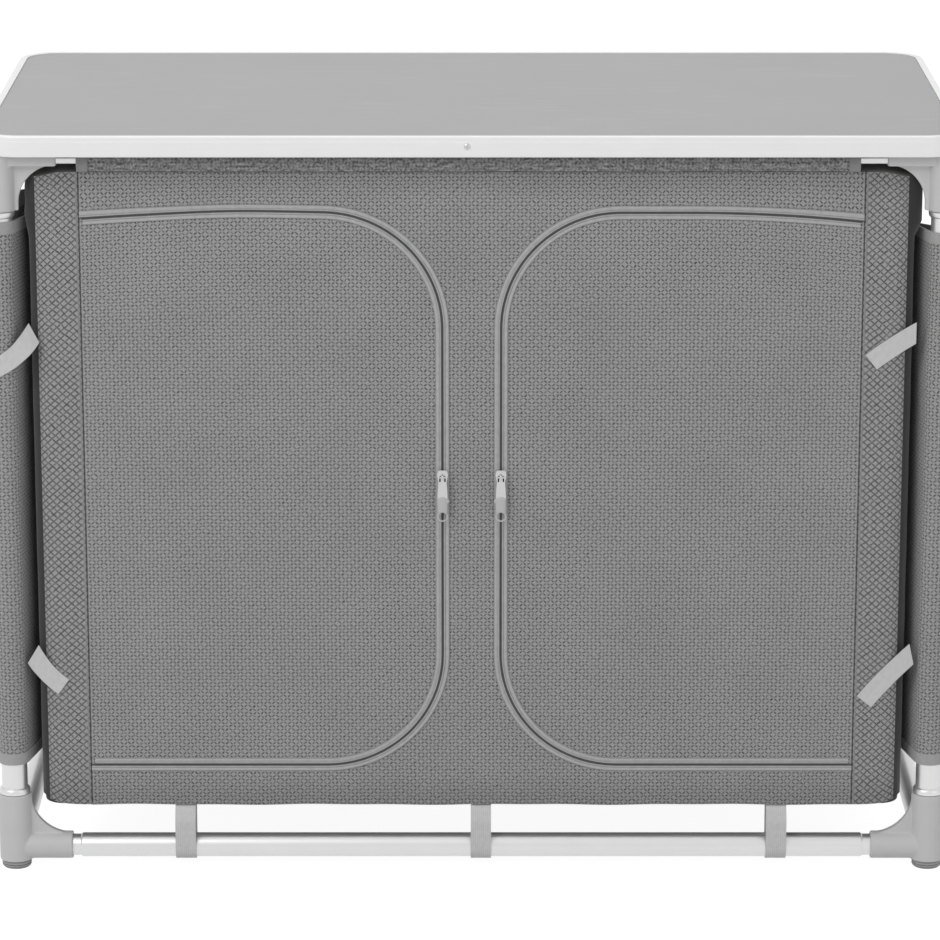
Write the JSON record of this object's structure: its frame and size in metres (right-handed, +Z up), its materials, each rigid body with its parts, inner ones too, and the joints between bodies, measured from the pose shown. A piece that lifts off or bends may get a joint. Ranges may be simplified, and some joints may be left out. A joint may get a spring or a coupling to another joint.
{
  "type": "camping kitchen unit",
  "caption": "Camping kitchen unit: a grey laminate worktop on an aluminium tube frame, with a grey woven fabric cupboard hung inside, closed by zipped doors.",
  "frame": {"origin": "middle of the base: halfway in X and Y, at the undersides of the feet", "axes": "+X along the worktop's long side from left to right, +Y from the front with the doors to the back, +Z up"},
  "size_m": [1.03, 0.525, 0.81],
  "materials": {
    "edge_trim": "satin white",
    "laminate": "fine matt",
    "board": "bare fibreboard edge",
    "grey_plastic": "fine matt",
    "tube": "satin anodised",
    "foot_rubber": "matt",
    "weave": "basket weave",
    "lattice": "diamond weave",
    "board_fabric": "plain lining over board",
    "zip_tape": "twill tape",
    "zip_metal": "polished",
    "webbing": "ribbed webbing"
  },
  "bodies": {
    "frame": {"worktop_edge_trim": "edge_trim", "worktop_laminate": "laminate", "worktop_board": "board", "top_bracket_front_left": "grey_plastic", "base_corner_front_left": "grey_plastic", "leg_front_left": "tube", "leg_wrap_front_left": "weave", "top_bracket_front_right": "grey_plastic", "base_corner_front_right": "grey_plastic", "leg_front_right": "tube", "leg_wrap_front_right": "weave", "top_bracket_rear_left": "grey_plastic", "base_corner_rear_left": "grey_plastic", "leg_rear_left": "tube", "leg_wrap_rear_left": "weave", "top_bracket_rear_right": "grey_plastic", "base_corner_rear_right": "grey_plastic", "leg_rear_right": "tube", "leg_wrap_rear_right": "weave", "base_rail_front": "tube", "base_rail_rear": "tube", "base_rail_left": "tube", "base_rail_right": "tube", "top_rail_front": "tube", "rail_sleeve_front": "weave", "top_rail_rear": "tube", "rail_sleeve_rear": "weave", "cupboard_front": "weave", "cupboard_back": "weave", "cupboard_top": "weave", "cupboard_floor": "board_fabric", "centre_divider": "board_fabric", "cupboard_side_left": "lattice", "shelf_left_1": "board_fabric", "shelf_left_2": "board_fabric", "front_zip_left": "zip_tape", "door_tie_upper_left": "webbing", "door_tie_lower_left": "webbing", "cupboard_side_right": "lattice", "shelf_right_1": "board_fabric", "shelf_right_2": "board_fabric", "front_zip_right": "zip_tape", "door_tie_upper_right": "webbing", "door_tie_lower_right": "webbing", "base_strap_left": "webbing", "base_strap_middle": "webbing", "base_strap_right": "webbing"},
    "door_left": {"door_left": "weave", "door_zip_left": "zip_tape"},
    "slider_left": {"zip_slider_left": "zip_metal"},
    "puller_left": {"zip_puller_left": "zip_metal"},
    "door_right": {"door_right": "weave", "door_zip_right": "zip_tape"},
    "slider_right": {"zip_slider_right": "zip_metal"},
    "puller_right": {"zip_puller_right": "zip_metal"},
    "foot_front_left": {"levelling_foot_front_left": "foot_rubber"},
    "foot_front_right": {"levelling_foot_front_right": "foot_rubber"},
    "foot_rear_left": {"levelling_foot_rear_left": "foot_rubber"},
    "foot_rear_right": {"levelling_foot_rear_right": "foot_rubber"}
  },
  "joints": [
    {"name": "door_left_fold", "type": "hinge", "parent": "frame", "child": "door_left", "pos_m": [-0.411, -0.243, 0.422], "axis": [0, 0, -1], "range_deg": [0, 150]},
    {"name": "slider_left_run", "type": "slide", "parent": "door_left", "child": "slider_left", "axis": [0, 0, 1], "range_m": [-0.18, 0.15]},
    {"name": "puller_left_swing", "type": "hinge", "parent": "slider_left", "child": "puller_left", "pos_m": [-0.031, -0.2503, 0.441], "axis": [-1, 0, 0], "range_deg": [0, 170]},
    {"name": "door_right_fold", "type": "hinge", "parent": "frame", "child": "door_right", "pos_m": [0.411, -0.243, 0.422], "axis": [0, 0, 1], "range_deg": [0, 150]},
    {"name": "slider_right_run", "type": "slide", "parent": "door_right", "child": "slider_right", "axis": [0, 0, 1], "range_m": [-0.18, 0.15]},
    {"name": "puller_right_swing", "type": "hinge", "parent": "slider_right", "child": "puller_right", "pos_m": [0.031, -0.2503, 0.441], "axis": [-1, 0, 0], "range_deg": [0, 170]},
    {"name": "foot_front_left_thread", "type": "slide", "parent": "frame", "child": "foot_front_left", "axis": [0, 0, -1], "range_m": [0, 0.01]},
    {"name": "foot_front_right_thread", "type": "slide", "parent": "frame", "child": "foot_front_right", "axis": [0, 0, -1], "range_m": [0, 0.01]},
    {"name": "foot_rear_left_thread", "type": "slide", "parent": "frame", "child": "foot_rear_left", "axis": [0, 0, -1], "range_m": [0, 0.01]},
    {"name": "foot_rear_right_thread", "type": "slide", "parent": "frame", "child": "foot_rear_right", "axis": [0, 0, -1], "range_m": [0, 0.01]}
  ]
}
